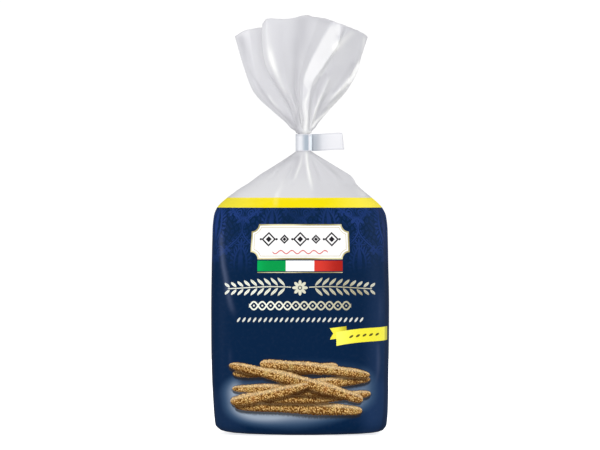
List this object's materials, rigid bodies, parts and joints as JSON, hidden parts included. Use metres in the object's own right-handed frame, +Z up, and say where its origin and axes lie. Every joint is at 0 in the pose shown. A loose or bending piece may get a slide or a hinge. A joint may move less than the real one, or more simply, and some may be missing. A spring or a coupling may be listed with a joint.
{
  "type": "tied bag of breadsticks",
  "caption": "Filled block-bottom film bag with a printed body, a milky clear shoulder, a neck gathered by a white closure strip and the spare film fanned out above it.",
  "frame": {"origin": "middle of the base, on the surface that the pack stands on", "axes": "+Z up along the pack, +X across its width to the right of the front panel, +Y from the front panel to the back panel"},
  "size_m": [0.14, 0.062, 0.3304],
  "materials": {
    "film": "smooth plastic film, printed dark blue with a yellow band on the body, milky translucent and unprinted above it",
    "closure_strip": "smooth white adhesive strip, faintly translucent"
  },
  "bodies": {
    "root": {"bag": "film", "closure": "closure_strip"}
  },
  "joints": []
}
